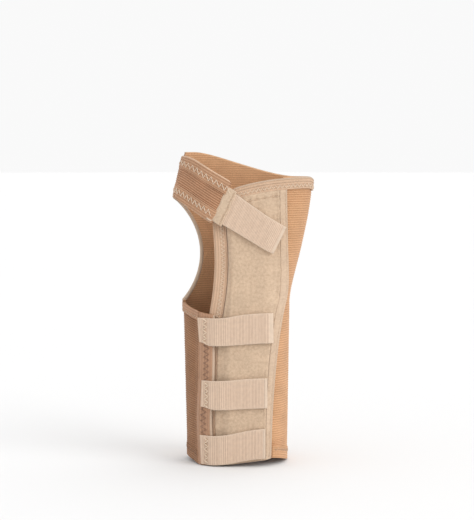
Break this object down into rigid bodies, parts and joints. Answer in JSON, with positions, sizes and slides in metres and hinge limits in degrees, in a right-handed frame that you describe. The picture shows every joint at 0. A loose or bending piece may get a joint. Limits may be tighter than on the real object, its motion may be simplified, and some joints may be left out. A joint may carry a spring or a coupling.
{
  "type": "wrist splint",
  "caption": "Elastic wrist splint for a left hand, with a stiffened palm panel, three forearm hook straps and a diagonal thumb strap.",
  "frame": {"origin": "middle of the splint's box in plan, at the level of its forearm hem", "axes": "+Z along the forearm towards the fingers, -Y out of the palm side, +X towards the little finger"},
  "size_m": [0.0836, 0.0555, 0.182],
  "materials": {
    "elastic": "ribbed elastic knit",
    "edging": "stitched elastic binding",
    "loop": "brushed loop fabric",
    "webbing": "fine ribbed webbing",
    "lining": "soft terry lining",
    "hooks": "moulded nylon hooks",
    "spring_plastic": "translucent nylon strip",
    "stay_metal": "satin rolled strip"
  },
  "bodies": {
    "sleeve": {"elastic_wrap": "elastic", "palmar_lining": "lining", "palmar_loop_panel": "loop", "ulnar_seam_tape": "webbing", "thenar_edge_band": "edging", "palm_edge_binding": "edging", "dorsal_edge_binding": "edging", "thumb_hole_binding": "edging", "sleeve_hem_band": "edging", "dorsal_channel_radial": "edging", "dorsal_channel_ulnar": "edging", "dorsal_stay_radial": "spring_plastic", "dorsal_stay_ulnar": "spring_plastic"},
    "radial_flap": {"radial_flap": "elastic", "closure_edge_band": "edging", "flap_thumb_binding": "edging", "flap_hem_band": "edging", "upper_strap_sewn_end": "webbing", "middle_strap_sewn_end": "webbing", "lower_strap_sewn_end": "webbing"},
    "upper_strap": {"upper_strap": "webbing", "upper_strap_hooks": "hooks"},
    "middle_strap": {"middle_strap": "webbing", "middle_strap_hooks": "hooks"},
    "lower_strap": {"lower_strap": "webbing", "lower_strap_hooks": "hooks"},
    "thumb_strap": {"thumb_strap_elastic": "elastic", "thumb_strap_upper_band": "edging", "thumb_strap_lower_band": "edging", "thumb_strap_keeper": "loop"},
    "thumb_hook_tab": {"thumb_hook_tab": "webbing", "thumb_tab_hooks": "hooks"},
    "palmar_stay": {"palmar_stay": "stay_metal"}
  },
  "joints": [
    {"name": "radial_flap_open", "type": "hinge", "parent": "sleeve", "child": "radial_flap", "pos_m": [-0.0359, 0.0033, 0.095], "axis": [0.0252, -0.0284, -0.9993], "range_deg": [0, 75]},
    {"name": "upper_strap_peel", "type": "hinge", "parent": "radial_flap", "child": "upper_strap", "pos_m": [-0.02109, -0.021, 0.0873], "axis": [-0.0116, -0.0843, -0.9964], "range_deg": [0, 150]},
    {"name": "middle_strap_peel", "type": "hinge", "parent": "radial_flap", "child": "middle_strap", "pos_m": [-0.02148, -0.02371, 0.0502], "axis": [-0.0076, -0.042, -0.9991], "range_deg": [0, 150]},
    {"name": "lower_strap_peel", "type": "hinge", "parent": "radial_flap", "child": "lower_strap", "pos_m": [-0.0217, -0.0248, 0.0178], "axis": [-0.0037, -0.0065, -1], "range_deg": [0, 150]},
    {"name": "thumb_strap_open", "type": "hinge", "parent": "sleeve", "child": "thumb_strap", "pos_m": [-0.03556, 0.01305, 0.18173], "axis": [-0.2127, -0.1608, -0.9638], "range_deg": [0, 110]},
    {"name": "thumb_tab_peel", "type": "hinge", "parent": "thumb_strap", "child": "thumb_hook_tab", "pos_m": [-0.00459, -0.01213, 0.15783], "axis": [-0.4091, -0.1633, -0.8977], "range_deg": [0, 150]},
    {"name": "palmar_stay_draw", "type": "hinge", "parent": "sleeve", "child": "palmar_stay", "pos_m": [0.0023, 0.7791, 0], "axis": [-1, 0, 0], "range_deg": [0, 10.7]}
  ]
}
